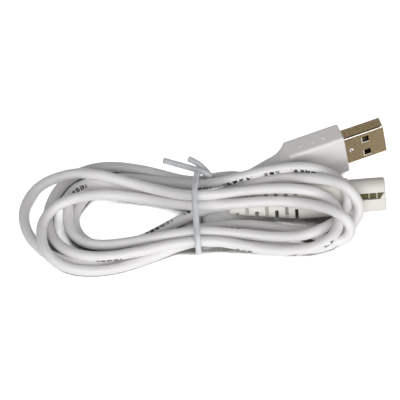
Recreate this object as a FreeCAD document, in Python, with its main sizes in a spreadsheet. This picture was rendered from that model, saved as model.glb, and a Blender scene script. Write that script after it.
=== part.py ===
# A charging cable about a metre long, wound into a hank and held by a twist tie.
# Millimetres; the floor is z = 0, the hank lies along x, and its middle is the origin.
# Both plugs are drawn along their own x axis, then turned into the places they rest in.
import FreeCAD
import Part
import Sketcher

import math
import os

V = FreeCAD.Vector
doc = FreeCAD.newDocument("charging_cable")
sheet = doc.addObject("Spreadsheet::Sheet", "sizes")

SIZES = [
    ("cable_diameter", 3.4),
    ("cable_bore_clearance", 0.1),
    # standard plug: the covered body, its shoulder and neck
    ("body_length", 18.5),
    ("body_width", 16.4),
    ("body_thickness", 7.4),
    ("body_round", 1.0),
    ("shoulder_mid_length", 2.6),
    ("shoulder_mid_width", 11.6),
    ("shoulder_mid_thickness", 7.2),
    ("shoulder_mid_round", 2.6),
    ("shoulder_length", 6.0),
    ("neck_length", 7.0),
    ("neck_front_width", 10.0),
    ("neck_front_thickness", 7.0),
    ("neck_back_width", 6.4),
    ("neck_back_thickness", 6.0),
    ("neck_round_share", 0.47),
    ("cover_edge_round", 0.7),
    ("shell_width", 12.0),
    ("shell_thickness", 4.5),
    ("shell_wall", 0.3),
    ("shell_round", 0.5),
    ("shell_exposed", 13.4),
    ("shell_covered", 5.0),
    ("window_length", 2.3),
    ("window_width", 2.5),
    ("window_from_cover", 5.9),
    ("window_offset", 3.1),
    ("dimple_from_cover", 1.9),
    ("dimple_radius", 0.75),
    ("seam_width", 0.4),
    ("seam_from_round", 0.2),
    ("tongue_thickness", 1.9),
    ("tongue_side_gap", 0.25),
    ("tongue_tip_gap", 0.9),
    ("tongue_root", 4.6),
    ("contact_width", 1.0),
    ("contact_thickness", 0.3),
    ("contact_proud", 0.12),
    ("contact_pitch", 2.3),
    ("contact_length_outer", 7.4),
    ("contact_length_inner", 6.4),
    ("contact_tip_gap", 0.6),
    ("contact_tail_width", 0.6),
    ("contact_tail_tip_gap", 2.0),
    # charging plug: slotted strain relief, grip, barrel
    ("relief_length", 22.4),
    ("relief_end_width", 5.6),
    ("relief_end_thickness", 5.4),
    ("relief_end_round", 2.2),
    ("grip_width", 11.6),
    ("grip_thickness", 8.0),
    ("grip_round", 2.6),
    ("grip_length", 16.6),
    ("grip_edge_round", 1.2),
    ("slot_width", 1.1),
    ("slot_pitch", 6.35),
    ("slot_first_side", 2.4),
    ("slot_first_face", 5.6),
    ("slot_core_wall", 0.4),
    ("slot_face_share", 0.66),
    ("cable_in_relief", 8.5),
    ("cable_in_neck", 7.5),
    ("barrel_length", 11.3),
    ("barrel_width", 10.8),
    ("barrel_thickness", 6.8),
    ("barrel_round", 3.1),
    ("barrel_stem_length", 5.0),
    ("mouth_edge_round", 0.7),
    ("groove_width", 2.1),
    ("groove_length", 8.6),
    ("groove_depth", 1.3),
    ("leaf_thickness", 0.25),
    ("leaf_rise", 0.75),
    ("leaf_side_gap", 0.2),
    ("leaf_end_gap", 0.3),
    ("latch_length", 1.3),
    ("latch_from_end", 3.0),
    ("lip_length", 1.8),
    ("lip_from_mouth", 2.3),
    ("pin_spacing", 5.2),
    ("pin_hole_radius", 1.45),
    ("pin_hole_depth", 9.0),
    ("sleeve_wall", 0.25),
    ("sleeve_inset", 0.8),
    ("sleeve_floor", 0.5),
    # twist tie
    ("tie_diameter", 1.9),
    # the hank over all, along x and along y
    ("hank_length", 118.6),
    ("hank_depth", 54.0),
]

ROW = 0
for alias, size in SIZES:
    ROW += 1
    sheet.set("A%d" % ROW, alias)
    sheet.set("B%d" % ROW, "%g" % size)
    sheet.setAlias("B%d" % ROW, alias)
doc.recompute()


def size_of(alias):
    return float(sheet.get(alias))


def value(text):
    return float(sheet.evalExpression(text))


def bind(feature, **expressions):
    """Tie a feature's sizes to the sheet; X, Y and Z stand for its base point."""
    for field, text in expressions.items():
        if field in ("X", "Y", "Z"):
            field = ".Placement.Base." + field.lower()
        feature.setExpression(field, text)
    return feature


def block(name, length, width, height, x, y, z):
    box = doc.addObject("Part::Box", name)
    return bind(box, Length=length, Width=width, Height=height, X=x, Y=y, Z=z)


def round_bar(name, radius, length, x, y="0", z="0"):
    """A cylinder along x from the point given."""
    bar = doc.addObject("Part::Cylinder", name)
    bar.Placement = FreeCAD.Placement(V(0, 0, 0), FreeCAD.Rotation(V(0, 1, 0), 90))
    return bind(bar, Radius=radius, Height=length, X=x, Y=y, Z=z)


def union(name, pieces):
    joined = doc.addObject("Part::MultiFuse", name)
    joined.Shapes = pieces
    joined.Refine = True
    return joined


def minus(name, base, tool):
    left = doc.addObject("Part::Cut", name)
    left.Base = base
    left.Tool = tool
    left.Refine = False
    return left


ACROSS = FreeCAD.Rotation(V(1, 1, 1), 120)


def rounded_outline(body, name, x, width, thickness, radius):
    """A rounded rectangle across x: width along y, thickness along z."""
    sketch = body.newObject("Sketcher::SketchObject", name)
    sketch.Placement = FreeCAD.Placement(V(0, 0, 0), ACROSS)
    a = value(width) / 2
    b = value(thickness) / 2
    r = value(radius)
    corners = [(a - r, r - b, -90), (a - r, b - r, 0), (r - a, b - r, 90), (r - a, r - b, 180)]
    ends = [(V(r - a, -b, 0), V(a - r, -b, 0)), (V(a, r - b, 0), V(a, b - r, 0)),
            (V(a - r, b, 0), V(r - a, b, 0)), (V(-a, b - r, 0), V(-a, r - b, 0))]
    for line, (cx, cy, start) in zip(ends, corners):
        sketch.addGeometry(Part.LineSegment(*line))
        ring = Part.Circle(V(cx, cy, 0), V(0, 0, 1), r)
        sketch.addGeometry(Part.ArcOfCircle(ring, math.radians(start), math.radians(start + 90)))
    link = lambda *parts: sketch.addConstraint(Sketcher.Constraint(*parts))
    for side in range(4):
        line, arc, after = 2 * side, 2 * side + 1, (2 * side + 2) % 8
        link("Tangent", line, 2, arc, 1)
        link("Tangent", arc, 2, after, 1)
    link("Horizontal", 0)
    link("Vertical", 2)
    for arc in (3, 5, 7):
        link("Equal", 1, arc)
    link("Symmetric", 1, 3, 5, 3, -1, 1)
    wide = link("DistanceX", 6, 1, 2, 1, 2 * a)
    tall = link("DistanceY", 0, 1, 4, 1, 2 * b)
    bend = link("Radius", 1, r)
    sketch.setExpression("Constraints[%d]" % wide, width)
    sketch.setExpression("Constraints[%d]" % tall, thickness)
    sketch.setExpression("Constraints[%d]" % bend, radius)
    sketch.setExpression(".Placement.Base.x", x)
    return sketch


def loft(body, name, outlines):
    lofted = body.newObject("PartDesign::AdditiveLoft", name)
    lofted.Profile = outlines[0]
    lofted.Sections = outlines[1:]
    lofted.Ruled = False
    return lofted


def pad(body, name, outline, length):
    padded = body.newObject("PartDesign::Pad", name)
    padded.Profile = outline
    padded.setExpression("Length", length)
    return padded


def round_rim(body, name, base, x, radius):
    """Round the outer edges of the flat end that lies at x."""
    doc.recompute()
    edges = []
    for number, edge in enumerate(base.Shape.Edges, 1):
        if all(abs(corner.X - x) < 1e-4 for corner in edge.Vertexes):
            edges.append("Edge%d" % number)
    rim = body.newObject("PartDesign::Fillet", name)
    rim.Base = (base, edges)
    rim.setExpression("Radius", radius)
    return rim


# The standard plug: x runs to its mouth, y across its wide face, z out of that face.
NECK_BACK = "-sizes.body_length - sizes.shoulder_length - sizes.neck_length"
cover = doc.addObject("PartDesign::Body", "cover")
cover_back = rounded_outline(cover, "cover_back", "-sizes.body_length",
                             "sizes.body_width", "sizes.body_thickness", "sizes.body_round")
pad(cover, "cover_block", cover_back, "sizes.body_length")
shoulder_back = rounded_outline(cover, "shoulder_back", "-sizes.body_length",
                                "sizes.body_width", "sizes.body_thickness", "sizes.body_round")
shoulder_mid = rounded_outline(cover, "shoulder_mid", "-sizes.body_length - sizes.shoulder_mid_length",
                               "sizes.shoulder_mid_width", "sizes.shoulder_mid_thickness",
                               "sizes.shoulder_mid_round")
NECK_FRONT = ("-sizes.body_length - sizes.shoulder_length", "sizes.neck_front_width",
              "sizes.neck_front_thickness", "sizes.neck_round_share * sizes.neck_front_thickness")
neck_front = rounded_outline(cover, "neck_front", *NECK_FRONT)
loft(cover, "cover_shoulder", [shoulder_back, shoulder_mid, neck_front])
neck_top = rounded_outline(cover, "neck_top", *NECK_FRONT)
neck_end = rounded_outline(cover, "neck_end", NECK_BACK, "sizes.neck_back_width",
                           "sizes.neck_back_thickness", "sizes.neck_round_share * sizes.neck_back_thickness")
cover_neck = loft(cover, "cover_neck", [neck_top, neck_end])
round_rim(cover, "cover_rim", cover_neck, 0, "sizes.cover_edge_round")

BORE = "sizes.cable_diameter / 2 + sizes.cable_bore_clearance"
shell_seat = doc.addObject("PartDesign::Body", "shell_seat")
seat_outline = rounded_outline(shell_seat, "seat_outline", "-sizes.shell_covered",
                               "sizes.shell_width", "sizes.shell_thickness", "sizes.shell_round")
pad(shell_seat, "seat_depth", seat_outline, "sizes.shell_covered + 1")
neck_bore = round_bar("neck_bore", BORE, "sizes.cable_in_neck + 1", NECK_BACK + " - 1")
cover_tools = union("cover_tools", [shell_seat, neck_bore])
usb_overmould = minus("usb_overmould", cover, cover_tools)

shell_outside = doc.addObject("PartDesign::Body", "shell_outside")
outside_outline = rounded_outline(shell_outside, "outside_outline", "-sizes.shell_covered",
                                  "sizes.shell_width", "sizes.shell_thickness", "sizes.shell_round")
pad(shell_outside, "outside_length", outside_outline, "sizes.shell_covered + sizes.shell_exposed")
shell_inside = doc.addObject("PartDesign::Body", "shell_inside")
inside_outline = rounded_outline(shell_inside, "inside_outline", "-sizes.shell_covered - 1",
                                 "sizes.shell_width - 2 * sizes.shell_wall",
                                 "sizes.shell_thickness - 2 * sizes.shell_wall",
                                 "sizes.shell_round - sizes.shell_wall")
pad(shell_inside, "inside_length", inside_outline, "sizes.shell_covered + sizes.shell_exposed + 2")
shell_cuts = [shell_inside]
for name, side in (("window_upper", "+"), ("window_lower", "-")):
    shell_cuts.append(block(
        name, "sizes.window_length", "sizes.window_width", "sizes.shell_thickness + 2",
        "sizes.window_from_cover", "%s sizes.window_offset - sizes.window_width / 2" % side,
        "-sizes.shell_thickness / 2 - 1"))
dimple = doc.addObject("Part::Cylinder", "dimple")
bind(dimple, Radius="sizes.dimple_radius", Height="1", X="sizes.dimple_from_cover",
     Z="sizes.shell_thickness / 2 - sizes.shell_wall / 2")
shell_cuts.append(dimple)
shell_cuts.append(block(
    "shell_seam", "sizes.shell_exposed + 1", "2 * sizes.shell_wall", "sizes.seam_width", "0",
    "sizes.shell_width / 2 - 1.5 * sizes.shell_wall",
    "sizes.shell_thickness / 2 - sizes.shell_round - sizes.seam_from_round"))
usb_shell = minus("usb_shell", shell_outside, union("shell_tools", shell_cuts))

TONGUE_FLOOR = "-sizes.shell_thickness / 2 + sizes.shell_wall"
TONGUE_HALF = "(sizes.shell_width / 2 - sizes.shell_wall - sizes.tongue_side_gap)"
TONGUE_TIP = "(sizes.shell_exposed - sizes.tongue_tip_gap)"
tongue_blade = block("tongue_blade", "sizes.shell_covered + " + TONGUE_TIP, "2 * " + TONGUE_HALF,
                     "sizes.tongue_thickness", "-sizes.shell_covered", "-" + TONGUE_HALF, TONGUE_FLOOR)
tongue_root = block("tongue_root", "sizes.tongue_root", "2 * " + TONGUE_HALF,
                    "sizes.shell_thickness - 2 * sizes.shell_wall", "-sizes.shell_covered",
                    "-" + TONGUE_HALF, TONGUE_FLOOR)
tongue_whole = union("tongue_whole", [tongue_blade, tongue_root])
contacts = []
contact_seats = []
CONTACT_LEVEL = TONGUE_FLOOR + " + sizes.tongue_thickness - sizes.contact_thickness + sizes.contact_proud"
for index in range(4):
    length = "sizes.contact_length_outer" if index in (0, 3) else "sizes.contact_length_inner"
    middle = "%g * sizes.contact_pitch" % (index - 1.5)
    for word, kept in (("usb_contact", contacts), ("contact_seat", contact_seats)):
        name = "%s_%d" % (word, index + 1)
        strip = block(name + "_strip", length, "sizes.contact_width", "sizes.contact_thickness",
                      TONGUE_TIP + " - sizes.contact_tip_gap - " + length,
                      middle + " - sizes.contact_width / 2", CONTACT_LEVEL)
        tail = block(name + "_tail", TONGUE_TIP + " + sizes.shell_covered - sizes.contact_tail_tip_gap",
                     "sizes.contact_tail_width", "sizes.contact_thickness - sizes.contact_proud",
                     "-sizes.shell_covered", middle + " - sizes.contact_tail_width / 2", CONTACT_LEVEL)
        kept.append(union(name, [strip, tail]))
usb_tongue = minus("usb_tongue", tongue_whole, union("contact_seats", contact_seats))

# The charging plug: x runs from the cable's way in to the mouth, y across the wide face.
GRIP_FRONT = "(sizes.relief_length + sizes.grip_length)"
grip = doc.addObject("PartDesign::Body", "grip")
grip_back = rounded_outline(grip, "grip_back", "sizes.relief_length",
                            "sizes.grip_width", "sizes.grip_thickness", "sizes.grip_round")
pad(grip, "grip_block", grip_back, "sizes.grip_length")
relief_end = rounded_outline(grip, "relief_end", "0", "sizes.relief_end_width",
                             "sizes.relief_end_thickness", "sizes.relief_end_round")
relief_top = rounded_outline(grip, "relief_top", "sizes.relief_length",
                             "sizes.grip_width", "sizes.grip_thickness", "sizes.grip_round")
relief_loft = loft(grip, "relief", [relief_end, relief_top])
round_rim(grip, "grip_rim", relief_loft, value(GRIP_FRONT), "sizes.grip_edge_round")

CORE = "(%s + sizes.slot_core_wall)" % BORE
slots = []
for index in range(4):
    place = "sizes.slot_first_side + %d * sizes.slot_pitch - sizes.slot_width / 2" % index
    for word, start in (("upper", CORE), ("lower", "-%s - sizes.grip_width" % CORE)):
        slots.append(block("slot_%s_%d" % (word, index), "sizes.slot_width", "sizes.grip_width",
                           "sizes.grip_thickness + 2", place, start, "-sizes.grip_thickness / 2 - 1"))
for index in range(3):
    place = "sizes.slot_first_face + %d * sizes.slot_pitch - sizes.slot_width / 2" % index
    for word, start in (("front", CORE), ("rear", "-%s - sizes.grip_thickness" % CORE)):
        slots.append(block("slot_%s_%d" % (word, index), "sizes.slot_width",
                           "sizes.slot_face_share * sizes.grip_width", "sizes.grip_thickness", place,
                           "-sizes.slot_face_share * sizes.grip_width / 2", start))
relief_bore = round_bar("relief_bore", BORE, "sizes.cable_in_relief + 1", "-1")
stem_pocket = block("stem_pocket", "sizes.barrel_stem_length + 1",
                    "sizes.barrel_width - 2 * sizes.barrel_round",
                    "sizes.barrel_thickness - sizes.barrel_round",
                    GRIP_FRONT + " - sizes.barrel_stem_length",
                    "-sizes.barrel_width / 2 + sizes.barrel_round",
                    "-(sizes.barrel_thickness - sizes.barrel_round) / 2")
charge_grip = minus("charge_grip", grip, union("grip_tools", slots + [relief_bore, stem_pocket]))

MOUTH = "(%s + sizes.barrel_length)" % GRIP_FRONT
barrel = doc.addObject("PartDesign::Body", "barrel")
barrel_outline = rounded_outline(barrel, "barrel_outline", GRIP_FRONT, "sizes.barrel_width",
                                 "sizes.barrel_thickness", "sizes.barrel_round")
barrel_pad = pad(barrel, "barrel_pad", barrel_outline, "sizes.barrel_length")
round_rim(barrel, "mouth_rim", barrel_pad, value(MOUTH), "sizes.mouth_edge_round")
stem = block("barrel_stem", "sizes.barrel_stem_length", "sizes.barrel_width - 2 * sizes.barrel_round",
             "sizes.barrel_thickness - sizes.barrel_round", GRIP_FRONT + " - sizes.barrel_stem_length",
             "-sizes.barrel_width / 2 + sizes.barrel_round",
             "-(sizes.barrel_thickness - sizes.barrel_round) / 2")
barrel_whole = union("barrel_whole", [barrel, stem])
groove = block("groove", "sizes.groove_length + 1", "sizes.groove_width", "sizes.groove_depth + 1",
               MOUTH + " - sizes.groove_length", "-sizes.groove_width / 2",
               "sizes.barrel_thickness / 2 - sizes.groove_depth")
barrel_cuts = [groove]
sleeves = []
for word, side in (("upper", "+"), ("lower", "-")):
    level = "%s sizes.pin_spacing / 2" % side
    barrel_cuts.append(round_bar("pin_hole_" + word, "sizes.pin_hole_radius", "sizes.pin_hole_depth + 1",
                                 MOUTH + " - sizes.pin_hole_depth", level))
    outer = round_bar("sleeve_outside_" + word, "sizes.pin_hole_radius",
                      "sizes.pin_hole_depth - sizes.sleeve_inset", MOUTH + " - sizes.pin_hole_depth", level)
    inner = round_bar("sleeve_inside_" + word, "sizes.pin_hole_radius - sizes.sleeve_wall",
                      "sizes.pin_hole_depth", MOUTH + " - sizes.pin_hole_depth + sizes.sleeve_floor", level)
    sleeves.append(minus("charge_contact_" + word, outer, inner))
charge_barrel = minus("charge_barrel", barrel_whole, union("barrel_tools", barrel_cuts))

LEAF_FLOOR = "sizes.barrel_thickness / 2 - sizes.groove_depth"
LEAF_WIDTH = "sizes.groove_width - 2 * sizes.leaf_side_gap"
LEAF_SIDE = "-sizes.groove_width / 2 + sizes.leaf_side_gap"
leaf_parts = [
    block("leaf_strip", "sizes.groove_length - 2 * sizes.leaf_end_gap", LEAF_WIDTH, "sizes.leaf_thickness",
          MOUTH + " - sizes.groove_length + sizes.leaf_end_gap", LEAF_SIDE, LEAF_FLOOR),
    block("leaf_latch", "sizes.latch_length", LEAF_WIDTH, "sizes.leaf_rise",
          MOUTH + " - sizes.groove_length + sizes.latch_from_end", LEAF_SIDE, LEAF_FLOOR),
    block("leaf_lip", "sizes.lip_length", LEAF_WIDTH, "sizes.leaf_rise",
          MOUTH + " - sizes.lip_from_mouth", LEAF_SIDE, LEAF_FLOOR),
]
charge_leaf = union("charge_leaf", leaf_parts)


# The hank's points and the plugs' places are set out for this length and depth.
SET_OUT_LENGTH = 118.6
SET_OUT_DEPTH = 54.0
ALONG = size_of("hank_length") / SET_OUT_LENGTH
ACROSS = size_of("hank_depth") / SET_OUT_DEPTH


def laid(x, y, z):
    """A place in the hank, stretched to the hank's length and depth."""
    return V(ALONG * x, ACROSS * y, z)


def rest(features, x, y, z, turn, nose_up, roll):
    """Turn finished pieces about their own origin and set them down."""
    place = FreeCAD.Placement(laid(x, y, z), FreeCAD.Rotation(turn, -nose_up, roll))
    for feature in features:
        feature.Placement = place.multiply(feature.Placement)


def runs_and_arcs(points, closed=False):
    """A wire of straight runs joined by arcs that meet them without a corner."""
    corners = [laid(*point) for point in points]
    if closed:
        middle = (corners[0] + corners[-1]) * 0.5
        corners = [middle] + corners + [middle]
    edges = []
    last = corners[0]
    for before, corner, after in zip(corners, corners[1:], corners[2:]):
        back = before - corner
        ahead = after - corner
        cut = 0.45 * min(back.Length, ahead.Length)
        back.normalize()
        ahead.normalize()
        turn = math.pi - math.acos(max(-1.0, min(1.0, back.dot(ahead))))
        radius = cut / math.tan(turn / 2)
        inward = back + ahead
        inward.normalize()
        start = corner + back * cut
        finish = corner + ahead * cut
        middle = corner + inward * (radius / math.cos(turn / 2) - radius)
        edges.append(Part.LineSegment(last, start).toShape())
        edges.append(Part.Arc(start, middle, finish).toShape())
        last = finish
    edges.append(Part.LineSegment(last, corners[-1]).toShape())
    return Part.Wire(edges)


def pipe(edges, radius):
    first = edges[0]
    way = first.tangentAt(first.FirstParameter)
    ring = Part.makeCircle(radius, first.valueAt(first.FirstParameter), way)
    return Part.Wire(edges).makePipe(Part.Face(Part.Wire(ring)))


def tube(points, radius, closed=False):
    """A round bar along the points; a closed one is two bars that meet end to end."""
    path = runs_and_arcs(points, closed)
    edges = path.Edges
    if closed:
        half = len(edges) // 2
        solid = pipe(edges[:half], radius).fuse(pipe(edges[half:], radius))
    else:
        solid = pipe(edges, radius)
    whole = math.pi * radius * radius * path.Length
    print("tube", round(path.Length, 1), "mm; volume ratio", round(solid.Volume / whole, 4))
    return solid


# The cable's route from the standard plug to the charging plug: five turns at the left end.
ROUTE = [
    # out of the neck, behind the hank, and round the first left loop
    (22.3, 12.4, 7.25), (13.8, 9.7, 5.85), (9.0, 8.6, 4.7), (3.2, 10.2, 2.9), (-1.6, 10.3, 4.0),
    (-7.4, 13.3, 2.5), (-13.8, 16.5, 1.7), (-20.8, 18.7, 1.7), (-27.6, 19.9, 1.7), (-33.7, 19.7, 1.7),
    (-38.8, 17.9, 1.7), (-43.3, 14.6, 1.7), (-46.6, 9.8, 1.7), (-48.9, 3.9, 1.7), (-50.0, -2.7, 1.7),
    (-48.9, -9.9, 2.4), (-45.7, -17.0, 3.9), (-40.1, -21.8, 5.2), (-33.7, -22.9, 5.2), (-26.0, -21.8, 5.0),
    (-17.6, -19.7, 5.3), (-9.6, -17.4, 5.5), (-1.6, -17.2, 6.6),
    # front right, up over the charging plug's grip, and back to the tie
    (6.1, -16.0, 5.1), (13.8, -17.3, 4.2), (21.5, -19.0, 4.2), (28.5, -19.8, 4.7), (34.9, -19.6, 6.0),
    (40.1, -18.9, 8.8), (42.9, -14.3, 9.2), (43.5, -9.4, 9.8), (42.0, -5.0, 10.8), (38.5, -1.9, 11.7),
    (33.0, -0.9, 13.0), (26.6, -0.1, 13.0), (19.6, 0.8, 11.7), (12.5, 0.9, 10.4), (5.4, -0.5, 10.6),
    # the outermost left loop
    (-1.6, -2.0, 11.5), (-8.0, 1.4, 8.4), (-14.7, 5.0, 6.7), (-21.5, 7.6, 6.5), (-27.9, 9.0, 7.5),
    (-34.3, 10.4, 8.1), (-40.7, 12.9, 6.0), (-46.8, 12.3, 4.9), (-52.1, 10.6, 3.2), (-55.9, 6.2, 2.1),
    (-57.8, -0.5, 1.7), (-56.7, -8.2, 1.7), (-53.4, -14.5, 1.7), (-48.4, -19.2, 1.7), (-42.6, -21.9, 1.7),
    (-36.2, -22.6, 1.7), (-29.8, -21.7, 1.7), (-23.1, -19.3, 1.7), (-16.3, -15.8, 1.7), (-9.6, -12.6, 2.5),
    (-3.5, -10.7, 4.4),
    # low through the right end, then the tight turn on top of the others
    (2.6, -7.5, 2.5), (8.7, -5.6, 1.7), (15.1, -5.7, 1.7), (21.5, -6.7, 1.7), (27.9, -8.1, 1.7),
    (33.7, -9.9, 2.6), (38.5, -14.8, 5.3), (42.9, -16.2, 5.1), (46.3, -15.3, 6.3), (47.2, -13.4, 9.0),
    (45.1, -12.8, 12.8), (41.5, -10.0, 13.2), (36.5, -6.5, 11.5), (30.4, -3.6, 9.9), (23.4, -2.9, 9.8),
    (15.7, -3.1, 9.6), (7.4, -3.6, 9.0),
    # the left loop that lies on top
    (-1.3, -2.8, 7.6), (-9.3, 0.6, 4.7), (-17.0, 3.4, 3.6), (-24.4, 4.7, 4.0), (-31.1, 4.4, 5.3),
    (-37.5, 1.5, 7.8), (-43.6, -1.6, 8.9), (-48.4, -3.6, 6.7), (-51.3, -8.2, 5.7), (-51.6, -14.5, 5.5),
    (-50.2, -20.2, 5.0), (-46.5, -23.8, 3.4), (-41.0, -25.7, 2.4), (-34.6, -25.9, 2.0), (-27.9, -24.8, 1.9),
    (-20.8, -22.0, 1.8), (-14.1, -18.6, 1.7), (-8.0, -15.7, 2.5), (-1.6, -14.8, 4.0),
    # along the floor at the front, then the widest turn over the barrel
    (5.4, -13.6, 2.5), (13.1, -14.6, 1.7), (21.2, -16.4, 1.7), (28.8, -17.1, 1.7), (36.2, -16.3, 1.7),
    (41.7, -13.6, 1.7), (45.8, -10.1, 3.6), (48.9, -7.8, 6.3), (50.2, -5.0, 9.8), (48.1, -4.1, 14.1),
    (44.7, -2.3, 17.0), (39.4, 1.0, 15.9), (33.0, 3.6, 13.9), (26.0, 5.9, 11.2), (18.9, 5.6, 10.2),
    (12.5, 4.7, 8.5), (5.8, 4.8, 5.3), (-1.6, 3.4, 4.8),
    # the fourth left loop
    (-8.7, 5.5, 2.7), (-15.7, 7.5, 1.7), (-22.1, 9.2, 1.8), (-27.6, 9.9, 2.7), (-33.0, 9.1, 4.8),
    (-37.5, 6.9, 5.6), (-40.9, 3.5, 5.2), (-42.7, -1.4, 4.8), (-43.1, -7.0, 4.5), (-41.5, -12.1, 4.1),
    (-37.5, -15.9, 4.2), (-31.7, -17.2, 4.5), (-24.7, -16.3, 4.7), (-17.3, -14.9, 5.1), (-9.6, -14.0, 6.3),
    (-1.6, -13.4, 7.2),
    # under the tight turn, up past the grip, and along the top
    (6.1, -12.4, 5.7), (13.8, -12.4, 4.6), (21.5, -13.8, 4.9), (28.5, -14.8, 5.9), (34.3, -15.9, 8.7),
    (39.1, -12.8, 8.3), (43.3, -7.2, 5.8), (46.0, -4.4, 8.2), (46.6, -2.0, 11.7), (44.6, 0.8, 14.4),
    (40.4, 5.1, 14.4), (34.9, 6.2, 16.0), (28.8, 7.1, 15.3), (22.8, 7.2, 14.0), (16.3, 6.1, 13.2),
    (10.6, 5.6, 11.4), (4.8, 6.2, 8.8), (-1.6, 6.8, 7.0),
    # the innermost left loop, then across to the charging plug
    (-8.7, 10.2, 4.0), (-15.7, 13.1, 2.1), (-22.8, 14.8, 1.7), (-28.5, 14.8, 1.7), (-32.7, 12.3, 1.7),
    (-36.5, 8.5, 1.7), (-39.7, 3.5, 1.7), (-41.5, -2.5, 1.7), (-40.5, -8.6, 1.7), (-37.3, -13.2, 1.7),
    (-32.1, -15.2, 1.7), (-25.6, -14.7, 1.7), (-19.2, -12.1, 1.7), (-13.1, -7.8, 1.7), (-7.4, -4.3, 2.5),
    (-2.2, -2.4, 3.7), (1.8, -1.1, 4.2), (6.3, -0.3, 4.75), (16.3, 0.25, 5.25),
]
cable = doc.addObject("Part::Feature", "cable")
cable.Shape = tube(ROUTE, size_of("cable_diameter") / 2)

# The tie: a ring round the bundle, and two cut ends that part behind it.
TIE_RING = [
    (-1.6, 13.6, 1.0), (-1.8, 13.8, 5.4), (-1.9, 9.2, 10.2), (-2.5, 0.6, 14.8), (-2.8, -4.4, 14.6),
    (-2.2, -13.4, 10.6), (-1.7, -18.8, 9.7), (-1.4, -20.7, 6.2), (-1.4, -17.3, 0.96), (-1.6, -3.0, 0.95),
]
TIE_LONG_END = [
    (-12.6, 16.8, 8.0), (-8.6, 14.9, 8.3), (-4.5, 12.9, 8.8), (-1.1, 10.9, 9.5), (1.9, 9.5, 9.3),
    (2.9, 9.6, 7.6), (0.9, 10.6, 6.5),
]
TIE_SHORT_END = [
    (-4.5, 16.3, 9.2), (-2.05, 14.7, 9.3), (-0.1, 12.7, 9.0), (1.4, 11.4, 8.1), (2.4, 10.0, 7.5),
]
tie_radius = size_of("tie_diameter") / 2
twist_tie = doc.addObject("Part::Feature", "twist_tie")
tie_ends = tube(TIE_LONG_END, tie_radius).fuse(tube(TIE_SHORT_END, tie_radius))
twist_tie.Shape = tie_ends.fuse(tube(TIE_RING, tie_radius, closed=True))

doc.recompute()
rest([usb_overmould, usb_shell, usb_tongue] + contacts, 45.35, 19.9, 10.85, 18.0, 8.5, 90.0)
rest([charge_grip, charge_barrel, charge_leaf] + sleeves, 8.33, -0.2, 4.85, 3.2, 3.0, 52.0)
doc.recompute()

os.makedirs("parts", exist_ok=True)
nodes = [cable, usb_overmould, usb_shell, usb_tongue] + contacts
nodes += [charge_grip, charge_barrel, charge_leaf] + sleeves + [twist_tie]
for feature in doc.Objects:
    if "Invalid" in feature.State or "Error" in feature.State:
        raise RuntimeError("not built: " + feature.Name)
low = V(1e9, 1e9, 1e9)
high = V(-1e9, -1e9, -1e9)
for node in nodes:
    shape = node.Shape
    if shape.isNull() or not shape.isValid():
        raise RuntimeError("bad shape: " + node.Name)
    box = shape.BoundBox
    low = V(min(low.x, box.XMin), min(low.y, box.YMin), min(low.z, box.ZMin))
    high = V(max(high.x, box.XMax), max(high.y, box.YMax), max(high.z, box.ZMax))
    shape.exportStep("parts/%s.step" % node.Name)
    print(node.Name, len(shape.Solids), "solid", round(shape.Volume, 2), "mm3")
print("box", [round(c, 2) for c in low], [round(c, 2) for c in high])
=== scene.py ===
"""Lay a charging cable as a hank under a twist tie, dress its two plugs, and stage it.

Everything is in metres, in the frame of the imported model: the floor is z = 0.
"""

import math

import bmesh
import bpy
from mathutils import Matrix, Vector


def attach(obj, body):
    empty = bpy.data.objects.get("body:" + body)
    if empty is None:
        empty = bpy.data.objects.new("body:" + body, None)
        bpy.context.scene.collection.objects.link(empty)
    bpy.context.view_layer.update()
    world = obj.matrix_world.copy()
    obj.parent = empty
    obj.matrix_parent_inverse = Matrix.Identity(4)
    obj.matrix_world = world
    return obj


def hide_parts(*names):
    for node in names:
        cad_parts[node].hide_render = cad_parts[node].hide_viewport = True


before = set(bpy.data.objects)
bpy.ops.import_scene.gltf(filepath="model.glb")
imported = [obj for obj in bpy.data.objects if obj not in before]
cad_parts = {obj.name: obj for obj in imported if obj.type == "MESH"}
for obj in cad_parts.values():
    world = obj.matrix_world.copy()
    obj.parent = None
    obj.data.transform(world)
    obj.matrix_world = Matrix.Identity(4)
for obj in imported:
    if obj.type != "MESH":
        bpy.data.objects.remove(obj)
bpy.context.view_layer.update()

bl_info = {
    "name": "Charging cable in a hank",
    "version": (1, 0, 0),
    "blender": (4, 5, 0),
    "location": "3D View > Sidebar > Cable",
    "description": "Lays a white charging cable, dresses its two plugs and stages them",
    "category": "Object",
}

MM = 0.001

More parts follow.
